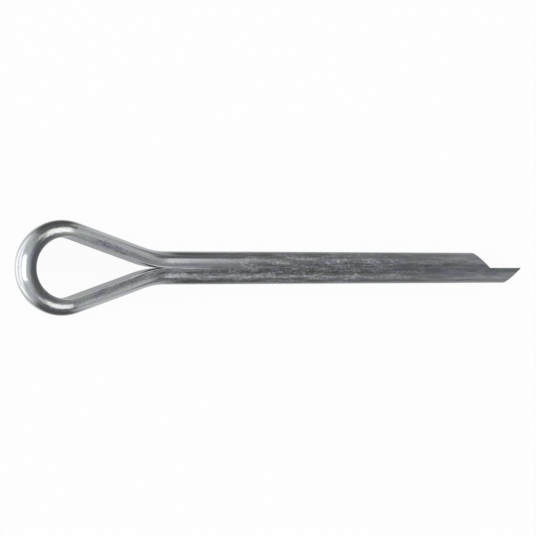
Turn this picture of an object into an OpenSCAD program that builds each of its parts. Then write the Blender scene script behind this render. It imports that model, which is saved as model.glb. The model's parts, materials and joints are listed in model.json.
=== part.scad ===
// Extended-prong cotter pin, bent from one length of half-round wire.
// It lies flat: X runs from the eye to the tips, and Y spreads the two legs.
// The origin is on the shank's axis, at the root where the neck bends end.

/* [Wire] */
// Diameter of the shank, which is both legs together
shank_d = 5.8; // [4:0.1:9]
// Gap between the flat faces of the two legs
leg_gap = 0.04; // [0.04:0.02:0.4]
// Radius that rounds the two edges of the wire's flat face
edge_r = 0.15; // [0.1:0.05:0.8]
// How much the wire thins all round where it is bent
bend_thinning = 0.02; // [0.01:0.01:0.1]

/* [Eye] */
// Inside radius of the eye's crown
eye_r = 5.18; // [4:0.02:9]
// Slope of each arm between its neck bend and the crown, in degrees
arm_slope = 19.1; // [14:0.1:26]
// Radius of each neck bend, at the wire's flat face
neck_r = 14.7; // [10:0.1:24]

/* [Legs] */
// Length of the short leg's flat face along its middle, from the root to its tip
short_leg = 66.1; // [30:0.1:120]
// Length of the prong, which is how far the long leg passes the short one
prong_reach = 7.2; // [2:0.1:12]
// Angle of the cut across each tip, from the leg's flat face
mitre_angle = 44; // [35:1:60]
// How far each cut leans back towards the top, as the shears leave it, in degrees
shear_lean = 16; // [0:1:25]

/* [Hidden] */
$fn = 96;

// The legs' round faces lie on one cylinder, and each flat face is half a gap from its axis
shank_r = shank_d / 2;
half_gap = leg_gap / 2;

// Straight wire runs this far into a bend, whose thinner section it closes off
lap = 0.05;
// Extra turn, in degrees, that carries an edge's rounding past both ends of a bend
over_turn = 1;

// Far end of a neck bend, on the wire's flat face
neck_x = -neck_r * sin(arm_slope);
neck_y = half_gap + neck_r * (1 - cos(arm_slope));

// Each arm runs on until its flat face is tangent to the crown's
arm_length = (eye_r * cos(arm_slope) - neck_y) / sin(arm_slope);
eye_x = neck_x - arm_length * cos(arm_slope) - eye_r * sin(arm_slope);
crown_turn = 180 + 2 * arm_slope;

// Section of the wire with sharp edges: flat face on the Y axis, round face towards +X
module half_round(thinning) {
    difference() {
        translate([-half_gap, 0]) circle(r = shank_r - thinning);
        translate([thinning - shank_d, -shank_d]) square([shank_d, 2 * shank_d]);
    }
}

// What the rounding takes off the section's upper edge: the corner outside an arc
// that touches the flat face and the round face
module edge_waste(thinning) {
    centre_x = thinning + edge_r;
    radial_x = half_gap + centre_x;
    radial_y = sqrt(pow(shank_r - thinning - edge_r, 2) - pow(radial_x, 2));
    difference() {
        polygon([
            [centre_x, radial_y],
            [-shank_r, radial_y],
            [-shank_r, shank_d],
            [centre_x + radial_x, 2 * radial_y]
        ]);
        translate([centre_x, radial_y]) circle(r = edge_r);
    }
}

// Straight wire along +X, with its flat face on the XZ plane and its round face towards +Y
module straight_wire(length) {
    rotate([90, 0, 90]) linear_extrude(length) difference() {
        half_round(0);
        edge_waste(0);
        mirror([0, 1]) edge_waste(0);
    }
}

// Wire bent about the Z axis with its flat face at a radius of bend_r.
// The round face is outside the bend, or inside it where inward is 1.
module bent_wire(bend_r, turn, inward) {
    difference() {
        rotate_extrude(angle = turn)
            translate([bend_r, 0]) mirror([inward, 0]) half_round(bend_thinning);
        for (lower = [0, 1])
            mirror([0, 0, lower]) rotate([0, 0, -over_turn])
                rotate_extrude(angle = turn + 2 * over_turn)
                    translate([bend_r, 0]) mirror([inward, 0]) edge_waste(bend_thinning);
    }
}

// Half turn and a little more, from one arm to the other
module crown() {
    translate([eye_x, 0, 0]) rotate([0, 0, 90 - arm_slope]) bent_wire(eye_r, crown_turn, 0);
}

module arm() {
    translate([neck_x, neck_y, 0]) rotate([0, 0, -arm_slope])
        translate([-arm_length - lap, 0, 0]) straight_wire(arm_length + 2 * lap);
}

module neck() {
    translate([0, half_gap + neck_r, 0]) rotate([0, 0, 270 - arm_slope])
        bent_wire(neck_r, arm_slope, 1);
}

// Leg with its tip cut at a slant, so that the flat face is its longest side
module leg(flat_length) {
    slant = 2 * shank_d * [cos(mitre_angle), -sin(mitre_angle)];
    translate([0, half_gap, 0]) difference() {
        translate([-lap, 0, 0]) straight_wire(flat_length + shank_d);
        translate([flat_length, 0, 0]) rotate([0, -shear_lean, 0])
            linear_extrude(3 * shank_d, center = true)
                polygon([slant, -slant, [4 * shank_d, shank_d]]);
    }
}

module half(flat_length) {
    arm();
    neck();
    leg(flat_length);
}

module cotter_pin() {
    color("silver") {
        crown();
        half(short_leg);
        mirror([0, 1, 0]) half(short_leg + prong_reach);
    }
}

cotter_pin();
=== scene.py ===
import json
import math

import bmesh
import bpy
from mathutils import Matrix, Vector


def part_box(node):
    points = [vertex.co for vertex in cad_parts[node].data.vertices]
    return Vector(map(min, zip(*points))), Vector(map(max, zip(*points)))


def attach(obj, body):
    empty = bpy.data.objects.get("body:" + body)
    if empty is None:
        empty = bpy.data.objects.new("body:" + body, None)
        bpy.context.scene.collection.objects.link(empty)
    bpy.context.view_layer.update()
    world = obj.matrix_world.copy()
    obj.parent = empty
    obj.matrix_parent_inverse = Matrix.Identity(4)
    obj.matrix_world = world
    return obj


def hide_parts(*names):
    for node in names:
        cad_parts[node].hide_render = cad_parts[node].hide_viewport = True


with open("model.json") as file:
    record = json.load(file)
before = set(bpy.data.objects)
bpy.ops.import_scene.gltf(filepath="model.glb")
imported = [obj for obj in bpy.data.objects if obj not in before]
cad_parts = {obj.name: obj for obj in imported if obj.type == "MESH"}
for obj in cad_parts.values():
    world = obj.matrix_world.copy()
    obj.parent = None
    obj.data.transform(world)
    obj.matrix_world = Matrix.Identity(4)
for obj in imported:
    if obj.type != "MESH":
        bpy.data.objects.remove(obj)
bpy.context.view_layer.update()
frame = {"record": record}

bl_info = {
    "name": "Cotter Pin Maker",
    "version": (1, 0, 0),
    "blender": (4, 5, 0),
    "location": "View3D > Sidebar > Cotter Pin",
    "description": "Bends half-round plated wire into a cotter pin and lays it on a pale studio floor",
    "category": "Add Mesh",
}

MM = 0.001
NODE = "cotter_pin"
PIECE = "bent_wire"
WIRE_ATTRIBUTE = "straight_wire"

NODE_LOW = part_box(NODE)[0]
MOUNTS = {m["name"]: m for m in frame["record"]["mounts"]}
SHANK_R = MOUNTS["shank"]["dims"]["r_mm"] * MM
EYE_R = MOUNTS["eye"]["dims"]["r_mm"] * MM

# Segments of the path in each neck bend, and in the half of the crown that follows it
NECK_STEPS = 40
CROWN_STEPS = 120
# Length over which the mitre draws the wire's last rings back
MITRE_RUN = 8 * MM
# Size of the dents' waves, along the wire and across it
DENT_LENGTH = 6 * MM
DENT_WIDTH = 1.6 * MM
# Width of the broken edge round each cut face
BROKEN_EDGE = 0.03 * MM
# Angle over which an edge of the mesh is shaded sharp
SHARP_ANGLE = math.radians(38)

# What the round and the flat face keep of their reflections at a glancing angle
ROUND_TINT = (0.92, 0.93, 0.94)
FLAT_TINT = (0.50, 0.51, 0.53)
# Colour of the painted highlight along the flat face's corner, a pale line that stands in for light caught by
# that edge
PAINTED_HIGHLIGHT_COLOR = (0.90, 0.92, 0.94)
# Tints of the plating's yellowish and bluish clouds
WARM_CLOUD = (1.02, 1.04, 0.86)
COOL_CLOUD = (0.96, 0.93, 1.16)
# Depth of the plating's grain and of the torn grain on the cut faces
PLATING_GRAIN = 0.02 * MM
TORN_GRAIN = 0.03 * MM
TORN_ROUGHNESS = 0.45

# Half the side of the square floor, and the height of the cards over it
FLOOR_REACH = 3.0
CARD_LIFT = 0.1 * MM
DARK_CARD = (0.1, 0.1, 0.1, 1.0)
BRIGHT_CARD_STRENGTH = 2.2

# Sensor's width and lens in millimetres, and the place of the camera: right, down and back from the origin
SENSOR_WIDTH = 36.0
LENS = 94.03
CAMERA_RIGHT = 18.006 * MM
CAMERA_DOWN = 0.031 * MM
CAMERA_BACK = 242.81 * MM
NEAREST_SEEN = 0.01


# ---------------------------------------------------------------- properties


class CotterWireSettings(bpy.types.PropertyGroup):
    """Sizes of the wire and of the shape that it is bent to."""

    shank_radius: bpy.props.FloatProperty(
        name="Shank Radius", description="Radius of the two legs together",
        default=SHANK_R, min=0.5 * MM, precision=5, subtype="DISTANCE", unit="LENGTH")
    half_gap: bpy.props.FloatProperty(
        name="Half Gap", description="Distance from the shank's axis to each leg's flat face",
        default=0.004 * MM, min=0.0, precision=6, subtype="DISTANCE", unit="LENGTH")
    flat_offset: bpy.props.FloatProperty(
        name="Flat Offset", description="Distance from the centre of the wire's round face to its flat face",
        default=0.02 * MM, min=0.0, precision=5, subtype="DISTANCE", unit="LENGTH")
    edge_radius: bpy.props.FloatProperty(
        name="Edge Radius", description="Radius that rounds the two edges of the wire's flat face",
        default=0.15 * MM, min=0.05 * MM, precision=5, subtype="DISTANCE", unit="LENGTH")
    eye_radius: bpy.props.FloatProperty(
        name="Eye Radius", description="Inside radius of the eye's crown",
        default=EYE_R, min=1 * MM, precision=5, subtype="DISTANCE", unit="LENGTH")
    arm_slope: bpy.props.FloatProperty(
        name="Arm Slope", description="Angle between each arm of the eye and the shank",
        default=math.radians(19.1), subtype="ANGLE", unit="ROTATION")
    neck_radius: bpy.props.FloatProperty(
        name="Neck Radius", description="Radius of each neck bend, at the wire's flat face",
        default=14.7 * MM, min=2 * MM, precision=5, subtype="DISTANCE", unit="LENGTH")
    long_leg: bpy.props.FloatProperty(
        name="Long Leg", description="Length of the long leg's flat face along its middle, from the root",
        default=73.35 * MM, min=5 * MM, precision=5, subtype="DISTANCE", unit="LENGTH")
    prong_reach: bpy.props.FloatProperty(
        name="Prong Reach", description="How far the long leg passes the short one",
        default=7.1 * MM, min=0.0, precision=5, subtype="DISTANCE", unit="LENGTH")
    mitre_angle: bpy.props.FloatProperty(
        name="Mitre Angle", description="Angle of the cut across each tip, from the leg's flat face",
        default=math.radians(44), subtype="ANGLE", unit="ROTATION")
    shear_lean: bpy.props.FloatProperty(
        name="Shear Lean", description="How far each cut leans back towards the top",
        default=math.radians(16), subtype="ANGLE", unit="ROTATION")
    ring_spacing: bpy.props.FloatProperty(
        name="Ring Spacing", description="Distance between the mesh's rings along the wire",
        default=0.25 * MM, min=0.1 * MM, precision=5, subtype="DISTANCE", unit="LENGTH")
    section_points: bpy.props.IntProperty(
        name="Section Points", description="Number of the mesh's points round the section",
        default=84, min=24)
    dent_depth: bpy.props.FloatProperty(
        name="Dent Depth", description="Depth of the shallow waves that drawing and bending leave",
        default=0.012 * MM, min=0.0, precision=6, subtype="DISTANCE", unit="LENGTH")
    seed: bpy.props.IntProperty(
        name="Seed", description="Seed of the dents", default=4, min=0)


class CotterFinishSettings(bpy.types.PropertyGroup):
    """Colours of the plating."""

    bright_color: bpy.props.FloatVectorProperty(
        name="Bright Zinc", description="Colour of the plating where it is still smooth",
        subtype="COLOR", size=3, min=0.0, max=1.0, default=(0.43, 0.445, 0.455))
    scuffed_color: bpy.props.FloatVectorProperty(
        name="Scuffed Zinc", description="Colour of the plating where the shank is rubbed dull",
        subtype="COLOR", size=3, min=0.0, max=1.0, default=(0.188, 0.197, 0.206))
    fleck_color: bpy.props.FloatVectorProperty(
        name="Flecks", description="Colour of the small scratches that catch the light on the shank",
        subtype="COLOR", size=3, min=0.0, max=1.0, default=(0.50, 0.515, 0.53))
    bright_roughness: bpy.props.FloatProperty(
        name="Bright Roughness", description="Roughness of the smooth plating",
        subtype="FACTOR", default=0.20, min=0.0, max=1.0)
    scuffed_roughness: bpy.props.FloatProperty(
        name="Scuffed Roughness", description="Roughness of the rubbed plating",
        subtype="FACTOR", default=0.32, min=0.0, max=1.0)


class CotterStageSettings(bpy.types.PropertyGroup):
    """The floor, the lamps and the camera."""

    floor_color: bpy.props.FloatVectorProperty(
        name="Floor", description="Colour of the floor",
        subtype="COLOR", size=3, min=0.0, max=1.0, default=(0.8, 0.8, 0.8))
    floor_glow: bpy.props.FloatProperty(
        name="Floor Glow", description="Share of the floor's white that no shadow takes away",
        subtype="FACTOR", default=0.95, min=0.0, max=1.0)
    lamp_level: bpy.props.FloatProperty(
        name="Lamp Level", description="Scale of every lamp's power", default=1.0, min=0.0)
    tilt: bpy.props.FloatProperty(
        name="Camera Tilt", description="Angle from straight above, towards the eye's end",
        default=math.radians(24.99), subtype="ANGLE", unit="ROTATION")


# ------------------------------------------------------------- node helpers


def math_node(tree, operation, a, b=None, c=None):
    """A math node on numbers or sockets, and its output."""
    node = tree.nodes.new("ShaderNodeMath")
    node.operation = operation
    for socket, value in zip(node.inputs, (a, b, c)):
        if value is not None:
            feed(tree, socket, value)
    return node.outputs[0]


def feed(tree, socket, value):
    """Links a socket to a socket, or sets it to a plain value."""
    if isinstance(value, bpy.types.NodeSocket):
        tree.links.new(value, socket)
    else:
        socket.default_value = value


def node_of(tree, kind, settings=None, **inputs):
    """A node with its settings, and its inputs fed by name."""
    node = tree.nodes.new(kind)
    for name, value in (settings or {}).items():
        setattr(node, name, value)
    for name, value in inputs.items():
        feed(tree, node.inputs[name.replace("_", " ")], value)
    return node


# ------------------------------------------------------------ the bent wire


def wire_path(wire):
    """Points of the wire's flat face, from the short leg's tip round the eye to the long leg's."""
    slope, gap = wire.arm_slope, wire.half_gap
    root = (wire.flat_offset - gap) / math.tan(slope)
    neck_x = root - wire.neck_radius * math.sin(slope)
    neck_y = gap + wire.neck_radius * (1 - math.cos(slope))
    arm = (wire.eye_radius * math.cos(slope) - neck_y) / math.sin(slope)
    eye_x = neck_x - arm * math.cos(slope) - wire.eye_radius * math.sin(slope)
    neck = []
    for i in range(NECK_STEPS + 1):
        turn = slope * i / NECK_STEPS
        neck.append((root - wire.neck_radius * math.sin(turn),
                     gap + wire.neck_radius * (1 - math.cos(turn))))
    first = math.pi / 2 - slope
    half_crown = []
    for i in range(CROWN_STEPS + 1):
        turn = first + (math.pi - first) * i / CROWN_STEPS
        half_crown.append((eye_x + wire.eye_radius * math.cos(turn), wire.eye_radius * math.sin(turn)))
    upper = neck + half_crown
    lower = [(x, -y) for x, y in reversed(upper[:-1])]
    short_tip = (wire.long_leg - wire.prong_reach, gap)
    long_tip = (wire.long_leg, -gap)
    return [Vector((x, y, 0)) for x, y in [short_tip, *upper, *lower, long_tip]]


def sweep_tree():
    """Geometry nodes that draw the half-round section along a path and cut its tips to a mitre."""
    tree = bpy.data.node_groups.new("half_round_wire", "GeometryNodeTree")
    sockets = (("Path", "Geometry"), ("Round Radius", "Float"), ("Flat Offset", "Float"),
               ("Edge Radius", "Float"), ("Mitre Angle", "Float"), ("Shear Lean", "Float"),
               ("Mitre Run", "Float"), ("Ring Spacing", "Float"), ("Section Points", "Int"),
               ("Dent Depth", "Float"), ("Dent Length", "Float"), ("Dent Width", "Float"), ("Seed", "Int"),
               ("Plating", "Material"))
    for name, kind in sockets:
        tree.interface.new_socket(name=name, in_out="INPUT", socket_type="NodeSocket" + kind)
    tree.interface.new_socket(name="Wire", in_out="OUTPUT", socket_type="NodeSocketGeometry")
    given = tree.nodes.new("NodeGroupInput").outputs

    def calc(operation, a, b=None, c=None):
        return math_node(tree, operation, a, b, c)

    # The path, and how far each of its rings is from the first tip
    rings = node_of(tree, "GeometryNodeResampleCurve", {"mode": "LENGTH"},
                    Curve=given["Path"], Length=given["Ring Spacing"])
    upright = node_of(tree, "GeometryNodeSetCurveNormal", {"mode": "Z_UP"}, Curve=rings.outputs[0])
    spline = tree.nodes.new("GeometryNodeSplineParameter")
    on_path = tree.nodes.new("GeometryNodeCaptureAttribute")
    on_path.domain = "POINT"
    on_path.capture_items.new("FLOAT", "along")
    tree.links.new(upright.outputs[0], on_path.inputs[0])
    tree.links.new(spline.outputs["Length"], on_path.inputs[1])
    length = node_of(tree, "GeometryNodeCurveLength", Curve=given["Path"]).outputs[0]

    # The section: a half disc whose two edges are rounded
    circle = node_of(tree, "GeometryNodeCurvePrimitiveCircle", {"mode": "RADIUS"},
                     Resolution=given["Section Points"])
    last = calc("SUBTRACT", given["Section Points"], 1.0)
    index = tree.nodes.new("GeometryNodeInputIndex").outputs[0]
    angle = node_of(tree, "ShaderNodeMapRange").outputs[0]
    span = angle.node.inputs
    for socket, value in zip(span, (index, 0.0, last, -math.pi, math.pi)):
        feed(tree, socket, value)
    inner = calc("SUBTRACT", given["Round Radius"], given["Edge Radius"])
    corner = calc("ARCCOSINE", calc("DIVIDE", calc("ADD", given["Flat Offset"], given["Edge Radius"]), inner))
    held = calc("MAXIMUM", calc("MINIMUM", angle, corner), calc("MULTIPLY", corner, -1.0))
    height = calc("SUBTRACT", calc("ADD", calc("MULTIPLY", inner, calc("COSINE", held)),
                                   calc("MULTIPLY", given["Edge Radius"], calc("COSINE", angle))),
                  given["Flat Offset"])
    side = calc("ADD", calc("MULTIPLY", inner, calc("SINE", held)),
                calc("MULTIPLY", given["Edge Radius"], calc("SINE", angle)))
    at = node_of(tree, "ShaderNodeCombineXYZ", X=height, Y=side)
    half_disc = node_of(tree, "GeometryNodeSetPosition", Geometry=circle.outputs[0], Position=at.outputs[0])
    on_section = tree.nodes.new("GeometryNodeCaptureAttribute")
    on_section.domain = "POINT"
    on_section.capture_items.new("VECTOR", "place")
    tree.links.new(half_disc.outputs[0], on_section.inputs[0])
    tree.links.new(tree.nodes.new("GeometryNodeInputPosition").outputs[0], on_section.inputs[1])

    swept = node_of(tree, "GeometryNodeCurveToMesh", Curve=on_path.outputs[0],
                    Profile_Curve=on_section.outputs[0], Fill_Caps=True)

    # Where each point lies on the wire before it is bent: along, up from the flat face, across
    place = node_of(tree, "ShaderNodeSeparateXYZ", Vector=on_section.outputs[1])
    along = on_path.outputs[1]
    straight = node_of(tree, "ShaderNodeCombineXYZ", X=along, Y=place.outputs[0], Z=place.outputs[1])
    stored = node_of(tree, "GeometryNodeStoreNamedAttribute",
                     {"data_type": "FLOAT_VECTOR", "domain": "POINT"},
                     Geometry=swept.outputs[0], Name=WIRE_ATTRIBUTE, Value=straight.outputs[0])

    # Shallow waves, then the tips' cuts, which draw each point of the last rings back by how
    # far it is from the flat face and how high it is
    scale = node_of(tree, "ShaderNodeCombineXYZ", X=given["Dent Length"], Y=given["Dent Width"],
                    Z=given["Dent Width"])
    cell = node_of(tree, "ShaderNodeVectorMath", {"operation": "DIVIDE"})
    feed(tree, cell.inputs[0], straight.outputs[0])
    feed(tree, cell.inputs[1], scale.outputs[0])
    waves = node_of(tree, "ShaderNodeTexNoise", {"noise_dimensions": "4D"}, Vector=cell.outputs[0],
                    W=given["Seed"], Scale=1.0, Detail=2.0, Roughness=0.5)
    sink = calc("MULTIPLY", waves.outputs[0], calc("MULTIPLY", given["Dent Depth"], -1.0))
    dent = node_of(tree, "ShaderNodeVectorMath", {"operation": "SCALE"})
    feed(tree, dent.inputs[0], tree.nodes.new("GeometryNodeInputNormal").outputs[0])
    feed(tree, dent.inputs["Scale"], sink)
    dented = node_of(tree, "GeometryNodeSetPosition", Geometry=stored.outputs[0], Offset=dent.outputs[0])

    from_tip = calc("MINIMUM", along, calc("SUBTRACT", length, along))
    share = calc("MAXIMUM", calc("SUBTRACT", 1.0, calc("DIVIDE", from_tip, given["Mitre Run"])), 0.0)
    above = node_of(tree, "ShaderNodeSeparateXYZ",
                    Vector=tree.nodes.new("GeometryNodeInputPosition").outputs[0]).outputs[2]
    mitred = calc("DIVIDE", place.outputs[0],
                  calc("MULTIPLY", calc("TANGENT", given["Mitre Angle"]), calc("COSINE", given["Shear Lean"])))
    leaned = calc("MULTIPLY", above, calc("TANGENT", given["Shear Lean"]))
    back = calc("MULTIPLY", share, calc("ADD", mitred, leaned))
    cut = node_of(tree, "GeometryNodeSetPosition", Geometry=dented.outputs[0],
                  Offset=node_of(tree, "ShaderNodeCombineXYZ", X=calc("MULTIPLY", back, -1.0)).outputs[0])

    whole = node_of(tree, "GeometryNodeRealizeInstances", Geometry=cut.outputs[0])
    plated = node_of(tree, "GeometryNodeSetMaterial", Geometry=whole.outputs[0], Material=given["Plating"])
    tree.links.new(plated.outputs[0], tree.nodes.new("NodeGroupOutput").inputs[0])
    return tree


def swept_mesh(wire, plating):
    """The wire's plain mesh, from the path curve and the geometry nodes."""
    curve = bpy.data.curves.new("wire_path", "CURVE")
    curve.dimensions = "3D"
    spline = curve.splines.new("POLY")
    points = wire_path(wire)
    spline.points.add(len(points) - 1)
    for point, place in zip(spline.points, points):
        point.co = (*place, 1)
    holder = bpy.data.objects.new("wire_path", curve)
    bpy.context.scene.collection.objects.link(holder)

    tree = sweep_tree()
    round_radius = wire.shank_radius + wire.flat_offset - wire.half_gap
    values = {
        "Round Radius": round_radius, "Flat Offset": wire.flat_offset, "Edge Radius": wire.edge_radius,
        "Mitre Angle": wire.mitre_angle, "Shear Lean": wire.shear_lean, "Mitre Run": MITRE_RUN,
        "Ring Spacing": wire.ring_spacing, "Section Points": wire.section_points,
        "Dent Depth": wire.dent_depth, "Dent Length": DENT_LENGTH, "Dent Width": DENT_WIDTH,
        "Seed": wire.seed, "Plating": plating}
    modifier = holder.modifiers.new("sweep", "NODES")
    modifier.node_group = tree
    for item in tree.interface.items_tree:
        if item.in_out == "INPUT" and item.name in values:
            modifier[item.identifier] = values[item.name]

    seen = holder.evaluated_get(bpy.context.evaluated_depsgraph_get())
    mesh = bpy.data.meshes.new_from_object(seen, preserve_all_data_layers=True,
                                           depsgraph=bpy.context.evaluated_depsgraph_get())
    bpy.data.objects.remove(holder)
    return mesh


def trim_tips(mesh, width):
    """Breaks the sharp edges of the two cut faces, and gives those faces the second material."""
    work = bmesh.new()
    work.from_mesh(mesh)
    caps = [f for f in work.faces if len(f.verts) > 4]
    for cap in caps:
        cap.material_index = 1
    rims = sorted({e for cap in caps for e in cap.edges}, key=lambda e: e.index)
    bmesh.ops.bevel(work, geom=rims, offset=width, segments=2, profile=0.5, affect="EDGES", material=0)
    bmesh.ops.recalc_face_normals(work, faces=work.faces)
    work.to_mesh(mesh)
    work.free()


class COTTER_OT_bend_wire(bpy.types.Operator):
    """Draws the half-round wire along the pin's bends and cuts both tips"""

    bl_idname = "cotter.bend_wire"
    bl_label = "Bend Wire"

    def execute(self, context):
        settings = context.scene.cotter_wire
        mesh = swept_mesh(settings, plating_material(context.scene.cotter_finish))
        if not mesh.polygons:
            raise RuntimeError("the sweep made no faces")
        mesh.materials.append(cut_face_material(context.scene.cotter_finish))
        trim_tips(mesh, BROKEN_EDGE)
        mesh.shade_smooth()
        mesh.set_sharp_from_angle(angle=SHARP_ANGLE)
        mesh.name = PIECE
        piece = bpy.data.objects.new(PIECE, mesh)
        context.scene.collection.objects.link(piece)
        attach(piece, "root")
        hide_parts(NODE)
        return {"FINISHED"}


# ------------------------------------------------------------- the finishes


def new_material(name):
    """An empty material and its node tree."""
    material = bpy.data.materials.new(name)
    material.use_nodes = True
    tree = material.node_tree
    tree.nodes.clear()
    return material, tree


def link_surface(tree, shader):
    """Makes a shader the material's surface."""
    out = tree.nodes.new("ShaderNodeOutputMaterial")
    tree.links.new(shader.outputs[0], out.inputs["Surface"])


def stretched_noise(tree, place, along, across, detail=3.0, shift=0.0, roughness=0.5):
    """Noise on the unbent wire, whose grains are `along` by `across` metres."""
    grain = node_of(tree, "ShaderNodeMapping", {"vector_type": "POINT"}, Vector=place)
    grain.inputs["Scale"].default_value = (1 / along, 1 / across, 1 / across)
    grain.inputs["Location"].default_value = (shift, shift * 0.7, shift * 1.3)
    noise = node_of(tree, "ShaderNodeTexNoise", {"noise_dimensions": "3D"}, Vector=grain.outputs[0])
    noise.inputs["Scale"].default_value = 1.0
    noise.inputs["Detail"].default_value = detail
    noise.inputs["Roughness"].default_value = roughness
    return noise.outputs[0]


def ramp(tree, value, low, high, to_low=0.0, to_high=1.0):
    """The value eased from one range to another, and held at its ends."""
    node = node_of(tree, "ShaderNodeMapRange", {"interpolation_type": "SMOOTHSTEP", "clamp": True})
    for socket, given in zip(node.inputs, (value, low, high, to_low, to_high)):
        feed(tree, socket, given)
    return node.outputs[0]


def mix_color(tree, share, first, second, blend="MIX"):
    """A share of the second colour over the first."""
    node = node_of(tree, "ShaderNodeMix", {"data_type": "RGBA", "blend_type": blend})
    feed(tree, node.inputs[0], share)
    for socket, given in ((node.inputs[6], first), (node.inputs[7], second)):
        feed(tree, socket, given if isinstance(given, bpy.types.NodeSocket) else (*given, 1.0))
    return node.outputs[2]


def brightness(tree, color, share):
    """The colour scaled by a number."""
    grey = node_of(tree, "ShaderNodeCombineColor", Red=share, Green=share, Blue=share).outputs[0]
    return mix_color(tree, 1.0, color, grey, "MULTIPLY")


# Each grain of the plating: its size along the wire and across it in millimetres, its detail and its shift
PLATING_GRAINS = (
    (9, 0.14, 2.0, 3.1),        # lines left by drawing
    (2.6, 0.22, 3.0, 5.7),      # streaks
    (4.5, 0.8, 3.0, 1.9),       # blotches
    (0.62, 0.20, 2.0, 7.7),     # chips
    (0.50, 0.26, 2.0, 4.3),     # pits
    (0.85, 0.50, 1.0, 12.1),    # curls
    (5.5, 0.34, 2.0, 11.3),     # long strokes
    (0.55, 0.40, 2.0, 8.9),     # orange peel
    (2.8, 0.9, 1.0, 7.3),       # clouds of tint
)


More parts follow.
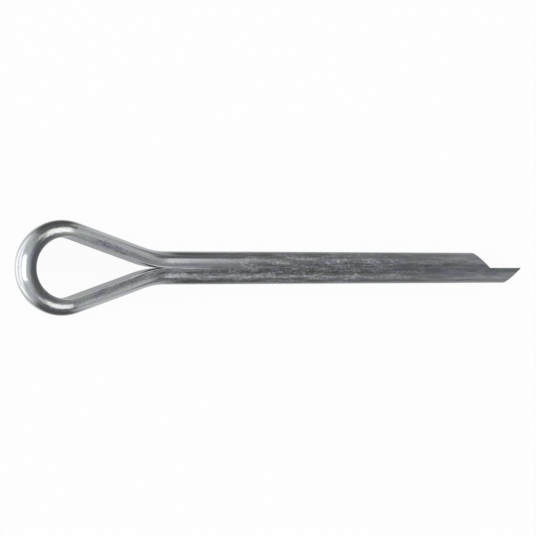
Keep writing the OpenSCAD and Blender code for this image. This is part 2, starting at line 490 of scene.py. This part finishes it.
def plating_material(finish):
    """Zinc plate: smooth on the eye, and rubbed dull, streaked and flecked along the shank, with painted shade
    along the split and low on the flat face, a painted highlight on the flat face's corner and a painted dark
    reflection low along the long leg.
    """
    material, tree = new_material("plated_wire")

    def calc(operation, a, b=None, c=None):
        return math_node(tree, operation, a, b, c)

    def ease(value, low, high, to_low=0.0, to_high=1.0):
        return ramp(tree, value, low, high, to_low, to_high)

    def times(first, *factors):
        for factor in factors:
            first = calc("MULTIPLY", first, factor)
        return first

    def swing(grain, amount, middle):
        """The middle value, pushed up and down by a grain whose own middle is a half."""
        return calc("MULTIPLY_ADD", calc("SUBTRACT", grain, 0.5), amount, middle)

    place = node_of(tree, "ShaderNodeAttribute", {"attribute_name": WIRE_ATTRIBUTE}).outputs["Vector"]
    over_flat = node_of(tree, "ShaderNodeSeparateXYZ", Vector=place).outputs[1]
    spot = node_of(tree, "ShaderNodeTexCoord").outputs["Object"]
    from_root, sideways, upward = node_of(tree, "ShaderNodeSeparateXYZ", Vector=spot).outputs

    # Grain of the surface, on the wire as it was before it was bent
    drawn_lines, streaks, blotches, chips, pits, curls, strokes, peel, hues = (
        stretched_noise(tree, place, along * MM, across * MM, detail, shift)
        for along, across, detail, shift in PLATING_GRAINS)

    # Wear grows from the neck along the shank, with a ragged edge, and sooner on the long leg
    sooner = times(ease(sideways, 0.0, -1 * MM, 0.0, 12 * MM), ease(from_root, -5 * MM, 1 * MM))
    ragged = calc("ADD", sooner, swing(blotches, 16 * MM, from_root))
    wear = calc("ADD", ease(ragged, -6 * MM, 3 * MM, 0.0, 0.12), ease(ragged, 6 * MM, 19 * MM, 0.0, 0.60))
    wear = calc("ADD", wear, ease(ragged, 18 * MM, 42 * MM, 0.0, 0.24))

    # The short leg is still smooth beside the neck
    rough = calc("MAXIMUM", ease(from_root, -4 * MM, -9 * MM), ease(from_root, 12 * MM, 24 * MM))
    rough = calc("MAXIMUM", rough, ease(sideways, 0.3 * MM, 0.0, 0.25, 1.0))

    # Bright flecks and short curls, and dark pits, where the shank is worn
    flecked = times(ease(ragged, 9 * MM, 17 * MM), ease(from_root, 24 * MM, 60 * MM, 1.0, 0.2))
    curl = times(ease(calc("ABSOLUTE", calc("SUBTRACT", curls, 0.5)), 0.065, 0.025),
                 ease(blotches, 0.47, 0.56))
    fleck = times(calc("MAXIMUM", ease(chips, 0.64, 0.69), curl), flecked)
    pit = times(ease(pits, 0.58, 0.70), ease(wear, 0.15, 0.6, 0.25, 0.45), rough)

    # The strip of round face beside the flat, which the draw plate scores, from the arms to the shank
    beside = times(ease(over_flat, 1.9 * MM, 1.1 * MM), ease(over_flat, 0.0, 0.06 * MM))
    scored = times(ease(from_root, -15 * MM, -12 * MM), ease(from_root, 25 * MM, 50 * MM, 1.0, 0.45),
                   calc("MULTIPLY_ADD", beside, 0.9, 0.1))
    dull = calc("ADD", ease(streaks, 0.58, 0.44, 0.02, 0.28), ease(pits, 0.50, 0.58, 0.0, 0.22))
    dull = times(scored, calc("MULTIPLY_ADD", calc("SUBTRACT", dull, 0.15), rough, 0.15))

    # How much of the plating's colour is left: blotches, scored strip, drawn lines, strokes and pits
    shade = calc("SUBTRACT", swing(blotches, ease(wear, 0.1, 0.7, 0.25, 0.7), 1.0), dull)
    shade = times(shade, ease(drawn_lines, 0.3, 0.7, 0.93, 1.06),
                  swing(strokes, ease(wear, 0.3, 0.9, 0.0, 0.9), 1.0),
                  calc("SUBTRACT", 1.0, times(pit, 0.5)))

    # Painted shade along the split between the legs, painted shade that darkens the flat face towards the
    # bottom, and a colour that grows brighter towards the tips
    split_painted_shade = times(ease(from_root, -2 * MM, 2 * MM), ease(over_flat, 0.15 * MM, 0.0, 0.0, 0.5))
    flat = ease(over_flat, 0.12 * MM, 0.03 * MM)
    low_flat_painted_shade = times(flat, ease(upward, -2.4 * MM, 1 * MM, 0.25, 0.0))
    shade = times(shade, calc("SUBTRACT", 1.0, split_painted_shade), calc("SUBTRACT", 1.0, low_flat_painted_shade),
                  ease(from_root, 55 * MM, 64 * MM, 1.0, 1.18))

    # A painted reflection: a dark line painted low along the long leg, where the metal reflects dark
    # surroundings
    painted_dark_line = times(ease(sideways, -2.1 * MM, -2.3 * MM), ease(sideways, -2.6 * MM, -2.45 * MM),
                     ease(from_root, 22 * MM, 34 * MM, 0.0, 0.2))
    shade = times(shade, calc("SUBTRACT", 1.0, painted_dark_line))

    color = mix_color(tree, wear, finish.bright_color, finish.scuffed_color)
    color = brightness(tree, color, shade)
    color = mix_color(tree, times(fleck, 0.75), color, finish.fleck_color)

    # Painted highlight: the flat face's corner is painted pale on the eye and at the start of the shank,
    # broken up along the drawn lines
    corner = times(ease(over_flat, 0.26 * MM, 0.14 * MM), ease(over_flat, 0.0, 0.04 * MM))
    painted_highlight = times(corner, ease(from_root, 8 * MM, 3 * MM), ease(drawn_lines, 0.42, 0.52, 0.15, 0.75),
                  ease(from_root, -9 * MM, -4 * MM, 0.4, 1.0))
    color = mix_color(tree, painted_highlight, color, PAINTED_HIGHLIGHT_COLOR)

    # Clouds of tint, weaker at the neck
    clouds = calc("SUBTRACT", 0.6, times(ease(from_root, -8 * MM, -2 * MM, 0.0, 0.25),
                                         ease(from_root, 12 * MM, 20 * MM, 1.0, 0.0)))
    for first, full, tint in ((0.55, 0.68, WARM_CLOUD), (0.45, 0.32, COOL_CLOUD)):
        color = mix_color(tree, times(clouds, ease(hues, first, full)), color,
                          mix_color(tree, 1.0, color, tint, "MULTIPLY"))

    roughness = ease(wear, 0.0, 1.0, finish.bright_roughness, finish.scuffed_roughness)
    roughness = swing(streaks, times(rough, 0.16), roughness)
    roughness = calc("MULTIPLY_ADD", fleck, 0.15, roughness)

    # Grain that stands up: coarse where the plating is worn, and a fine peel all over
    coarse = calc("MULTIPLY_ADD", chips, 0.5, calc("MULTIPLY_ADD", drawn_lines, 0.35, streaks))
    uneven = calc("MAXIMUM", ease(from_root, -14 * MM, -8 * MM, 1.0, 0.4), ease(wear, 0.12, 0.6, 0.4, 1.0))
    height = calc("MULTIPLY_ADD", coarse, ease(wear, 0.0, 1.0, 0.10, 0.9), times(peel, uneven))
    bump = node_of(tree, "ShaderNodeBump", Strength=1.0, Distance=PLATING_GRAIN,
                   Height=times(height, rough))
    surface = node_of(tree, "ShaderNodeBsdfPrincipled", Base_Color=color, Metallic=1.0, Roughness=roughness,
                      Specular_Tint=mix_color(tree, flat, ROUND_TINT, FLAT_TINT), Normal=bump.outputs[0])
    link_surface(tree, surface)
    return material


def cut_face_material(finish):
    """The sheared tips: rubbed zinc with a torn grain across fine drawn lines."""
    material, tree = new_material("sheared_tip")
    place = node_of(tree, "ShaderNodeAttribute", {"attribute_name": WIRE_ATTRIBUTE}).outputs["Vector"]
    torn = stretched_noise(tree, place, 0.3 * MM, 0.12 * MM, 3.0, 5.3)
    lines = stretched_noise(tree, place, 4 * MM, 0.10 * MM, 2.0, 2.2)
    color = brightness(tree, tuple(finish.scuffed_color), ramp(tree, torn, 0.25, 0.75, 0.8, 1.1))
    bump = node_of(tree, "ShaderNodeBump", Strength=1.0, Distance=TORN_GRAIN,
                   Height=math_node(tree, "ADD", torn, lines))
    surface = node_of(tree, "ShaderNodeBsdfPrincipled", Base_Color=color, Metallic=1.0,
                      Roughness=TORN_ROUGHNESS, Normal=bump.outputs[0])
    link_surface(tree, surface)
    return material


# ---------------------------------------------------------------- the stage


def floor_material(color, glow):
    """A pale matt floor that is white to the eye and in reflections, and keeps the pin's shadow."""
    material, tree = new_material("pale_floor")
    path = tree.nodes.new("ShaderNodeLightPath").outputs
    seen = math_node(tree, "MAXIMUM", path["Is Camera Ray"],
                     math_node(tree, "MAXIMUM", path["Is Glossy Ray"], path["Is Transmission Ray"]))
    matt = node_of(tree, "ShaderNodeBsdfDiffuse", Color=mix_color(tree, seen, color, (1.0 - glow,) * 3))
    light = node_of(tree, "ShaderNodeEmission", Color=(1.0, 1.0, 1.0, 1.0),
                    Strength=math_node(tree, "MULTIPLY", seen, glow))
    both = tree.nodes.new("ShaderNodeAddShader")
    tree.links.new(matt.outputs[0], both.inputs[0])
    tree.links.new(light.outputs[0], both.inputs[1])
    link_surface(tree, both)
    return material


def direction(zenith, azimuth):
    """A unit vector, from degrees off straight up and degrees round from +X."""
    z, a = math.radians(zenith), math.radians(azimuth)
    return Vector((math.sin(z) * math.cos(a), math.sin(z) * math.sin(a), math.cos(z)))


def soft_box(name, zenith, azimuth, distance, width, height, radiance):
    """An area lamp that faces the pin, as bright all over as a surface of that radiance."""
    lamp = bpy.data.lights.new(name, "AREA")
    lamp.shape = "RECTANGLE"
    lamp.size, lamp.size_y = width, height
    lamp.energy = radiance * math.pi * width * height
    box = bpy.data.objects.new(name, lamp)
    back = direction(zenith, azimuth)
    box.location = back * distance
    across = Vector((0, 0, 1)).cross(back).normalized()
    up = back.cross(across)
    box.rotation_mode = "QUATERNION"
    box.rotation_quaternion = Matrix((across, up, back)).transposed().to_quaternion()
    bpy.context.scene.collection.objects.link(box)
    return box


# Corners of each card on the +Y side in millimetres, with how much they cover, and of its faded rim
CARDS = {
    "crown": (((-23, 11, 0.9), (-14, 13, 0.9), (90, 300, 0.9), (-175, 300, 0.8)),
              ((-29, 8), (-9, 10.5), (130, 320), (-240, 320))),
    "shank": (((4, 8, 0.93), (38, 8, 0.45), (66, 55, 0.3), (24, 55, 0.93)),
              ((0, 5), (95, 5), (105, 75), (19, 75))),
    "root": (((24, 60, 0.85), (34, 60, 0.6), (140, 300, 0.5), (110, 300, 0.85)),
             ((12, 46), (42, 46), (165, 320), (85, 320))),
    "near_floor": (((-31.5, -9.2, 1), (-31.5, 9.2, 1), (-29, 9, 1), (-29, -9, 1)),
                   ((-31.7, -15.5), (-31.7, 15.5), (-26.5, 15), (-26.5, -15))),
    "far_floor": (((-60, -11, 1), (-60, 11, 1), (-34.4, 9.4, 1), (-34.4, -9.4, 1)),
                  ((-80, -22), (-80, 22), (-34.2, 15.8), (-34.2, -15.8))),
}


# Name, degrees off straight up and round from +X, metres away, width, height and radiance of each lamp
SOFT_BOXES = (
    ("upper_box", 51, 83, 0.5, 0.30, 0.29, 1.95),
    ("lower_box", 57, -83, 0.5, 0.30, 0.27, 1.8),
    ("upper_wing", 57, 112, 0.5, 0.17, 0.14, 0.9),
    ("lower_wing", 60, -112, 0.5, 0.17, 0.14, 0.9),
    ("eye_box", 74, 180, 0.5, 0.35, 0.20, 3.0),
    ("upper_fill", 72, 36, 0.6, 0.48, 0.44, 0.78),
    ("lower_fill", 78, -36, 0.6, 0.48, 0.36, 0.78),
    ("lower_strip", 56.5, -42, 0.6, 0.20, 0.10, 0.78),
)


def faded_card(name, outlines, side, shader_kind, **inputs):
    """A card on the floor beside the pin, faded at its rim, which only the metal's reflections show."""
    full, faded = outlines
    work = bmesh.new()
    cover = work.verts.layers.float.new("cover")
    rings = []
    for outline in (full, [(x, y, 0) for x, y in faded]):
        ring = [work.verts.new((x * MM, side * y * MM, NODE_LOW.z + CARD_LIFT)) for x, y, share in outline]
        for corner, (x, y, share) in zip(ring, outline):
            corner[cover] = share
        rings.append(ring)
    work.faces.new(rings[0])
    for i in range(4):
        work.faces.new((rings[0][i - 1], rings[0][i], rings[1][i], rings[1][i - 1]))
    bmesh.ops.recalc_face_normals(work, faces=work.faces)
    bmesh.ops.triangulate(work, faces=work.faces)
    mesh = bpy.data.meshes.new(name)
    work.to_mesh(mesh)
    work.free()
    material, tree = new_material(name)
    shade = node_of(tree, shader_kind, **inputs)
    clear = tree.nodes.new("ShaderNodeBsdfTransparent")
    share = node_of(tree, "ShaderNodeAttribute", {"attribute_name": "cover"}).outputs["Fac"]
    mixed = node_of(tree, "ShaderNodeMixShader", Fac=share)
    tree.links.new(clear.outputs[0], mixed.inputs[1])
    tree.links.new(shade.outputs[0], mixed.inputs[2])
    link_surface(tree, mixed)
    mesh.materials.append(material)
    card = bpy.data.objects.new(name, mesh)
    card.visible_camera = card.visible_diffuse = card.visible_shadow = False
    card.visible_transmission = False
    bpy.context.scene.collection.objects.link(card)


def studio_world():
    """A dim room, brighter towards both ends of the pin, with the dark end of a boom over one side."""
    world = bpy.data.worlds.new("studio")
    world.use_nodes = True
    tree = world.node_tree

    def calc(operation, a, b):
        return math_node(tree, operation, a, b)

    seen = tree.nodes.new("ShaderNodeTexCoord").outputs["Generated"]
    to_tips, to_side, to_top = node_of(tree, "ShaderNodeSeparateXYZ", Vector=seen).outputs
    eye_end = ramp(tree, to_tips, -0.75, -0.25, 0.75, 0.0)
    tip_end = calc("MULTIPLY", ramp(tree, to_tips, 0.05, 0.40, 0.0, 0.45), ramp(tree, to_top, 0.55, 0.77))
    strength = calc("ADD", calc("ADD", eye_end, tip_end), 0.18)
    # Squares of how far a ray is from the boom's end, in half widths of the dark oval there
    along = calc("POWER", calc("DIVIDE", calc("SUBTRACT", to_tips, 0.375), 0.09), 2.0)
    across = calc("POWER", calc("DIVIDE", calc("ADD", to_side, 0.53), 0.15), 2.0)
    strength = calc("MULTIPLY", strength, ramp(tree, calc("ADD", along, across), 0.10, 1.0, 0.05, 1.0))
    tree.links.new(strength, tree.nodes["Background"].inputs["Strength"])
    tree.nodes["Background"].inputs["Color"].default_value = (0.97, 1.0, 1.02, 1.0)
    return world


class COTTER_OT_set_stage(bpy.types.Operator):
    """Lays the pale floor, hangs the soft lamps and aims the camera"""

    bl_idname = "cotter.set_stage"
    bl_label = "Set Stage"

    def execute(self, context):
        stage = context.scene.cotter_stage
        work = bmesh.new()
        bmesh.ops.create_grid(work, x_segments=1, y_segments=1, size=FLOOR_REACH)
        bmesh.ops.translate(work, verts=work.verts, vec=(0, 0, NODE_LOW.z))
        mesh = bpy.data.meshes.new("floor")
        work.to_mesh(mesh)
        work.free()
        mesh.materials.append(floor_material(tuple(stage.floor_color), stage.floor_glow))
        floor = bpy.data.objects.new("floor", mesh)
        context.scene.collection.objects.link(floor)

        for side, end in ((1, "upper"), (-1, "lower")):
            for place in ("crown", "shank", "root"):
                faded_card(f"{end}_{place}_card", CARDS[place], side, "ShaderNodeBsdfDiffuse",
                           Color=DARK_CARD)
        for place in ("near_floor", "far_floor"):
            faded_card(f"{place}_card", CARDS[place], 1, "ShaderNodeEmission",
                       Strength=BRIGHT_CARD_STRENGTH)

        for name, zenith, azimuth, distance, width, height, radiance in SOFT_BOXES:
            soft_box(name, zenith, azimuth, distance, width, height, radiance * stage.lamp_level)
        context.scene.world = studio_world()

        right = Vector((math.cos(stage.tilt), 0, math.sin(stage.tilt)))
        up = Vector((0, 1, 0))
        back = right.cross(up)
        camera = bpy.data.cameras.new("camera")
        camera.sensor_width = SENSOR_WIDTH
        camera.lens = LENS
        camera.clip_start = NEAREST_SEEN
        eye = bpy.data.objects.new("camera", camera)
        place = right * CAMERA_RIGHT - up * CAMERA_DOWN + back * CAMERA_BACK
        eye.matrix_world = Matrix.Translation(place) @ Matrix((right, up, back)).transposed().to_4x4()
        context.scene.collection.objects.link(eye)
        context.scene.camera = eye
        context.scene.view_settings.view_transform = "Standard"
        return {"FINISHED"}


class COTTER_PT_panel(bpy.types.Panel):
    """Lists the settings and the steps in the 3D view's sidebar"""

    bl_idname = "COTTER_PT_panel"
    bl_label = "Cotter Pin"
    bl_space_type = "VIEW_3D"
    bl_region_type = "UI"
    bl_category = "Cotter Pin"

    def draw(self, context):
        groups = ((context.scene.cotter_wire, "cotter.bend_wire"),
                  (context.scene.cotter_finish, None),
                  (context.scene.cotter_stage, "cotter.set_stage"))
        for group, step in groups:
            box = self.layout.box()
            for name in group.__annotations__:
                box.prop(group, name)
            if step:
                box.operator(step)


CLASSES = (CotterWireSettings, CotterFinishSettings, CotterStageSettings,
           COTTER_OT_bend_wire, COTTER_OT_set_stage, COTTER_PT_panel)


def register():
    for cls in CLASSES:
        bpy.utils.register_class(cls)
    bpy.types.Scene.cotter_wire = bpy.props.PointerProperty(type=CotterWireSettings)
    bpy.types.Scene.cotter_finish = bpy.props.PointerProperty(type=CotterFinishSettings)
    bpy.types.Scene.cotter_stage = bpy.props.PointerProperty(type=CotterStageSettings)


def unregister():
    del bpy.types.Scene.cotter_stage
    del bpy.types.Scene.cotter_finish
    del bpy.types.Scene.cotter_wire
    for cls in reversed(CLASSES):
        bpy.utils.unregister_class(cls)


def main():
    """Bends the wire and sets the stage."""
    register()
    bpy.ops.cotter.bend_wire()
    bpy.ops.cotter.set_stage()


if __name__ == "__main__":
    main()
